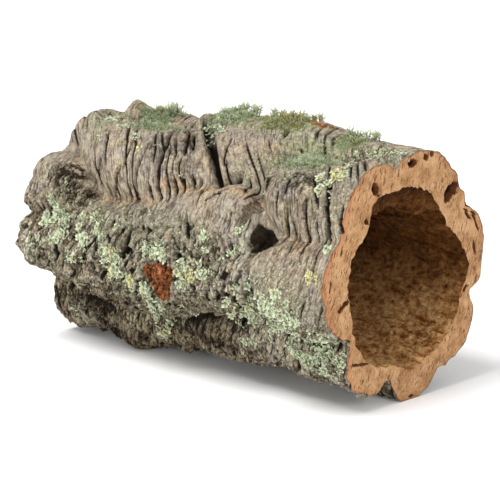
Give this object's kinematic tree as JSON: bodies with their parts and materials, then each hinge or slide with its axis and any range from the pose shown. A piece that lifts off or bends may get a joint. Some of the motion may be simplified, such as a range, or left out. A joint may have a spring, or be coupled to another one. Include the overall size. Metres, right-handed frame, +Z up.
{
  "type": "hollow cork bark branch",
  "caption": "Hollow branch of virgin cork bark lying on its side, sawn square at both ends and open right through, with moss and lichen growing on it.",
  "frame": {"origin": "middle of the box's footprint, on the surface that the branch lies on", "axes": "+X along the tube towards the sawn end that the picture shows, +Z up, -Y towards the side that the picture shows"},
  "size_m": [0.281, 0.1588, 0.1692],
  "materials": {
    "cork_bark": "dry, rough, fissured grey-brown bark; tan granular cork on the sawn ends, dark brown inside",
    "moss": "dull, fine, tufted",
    "lichen": "dull, dry, leafy crust"
  },
  "bodies": {
    "root": {"cork_bark": "cork_bark", "moss_far_tuft": "moss", "moss_far_mat": "moss", "moss_crest_far": "moss", "moss_crest_near": "moss", "moss_near_tuft": "moss", "moss_slope": "moss", "lichen_brow": "lichen", "lichen_hip_far": "lichen", "lichen_hip_low": "lichen", "lichen_scar": "lichen", "lichen_scar_side": "lichen", "lichen_toe": "lichen", "lichen_scar_foot": "lichen", "lichen_arch": "lichen", "lichen_cheek": "lichen", "lichen_sole": "lichen", "lichen_crown": "lichen", "lichen_back_far": "lichen", "lichen_back_near": "lichen"}
  },
  "joints": []
}
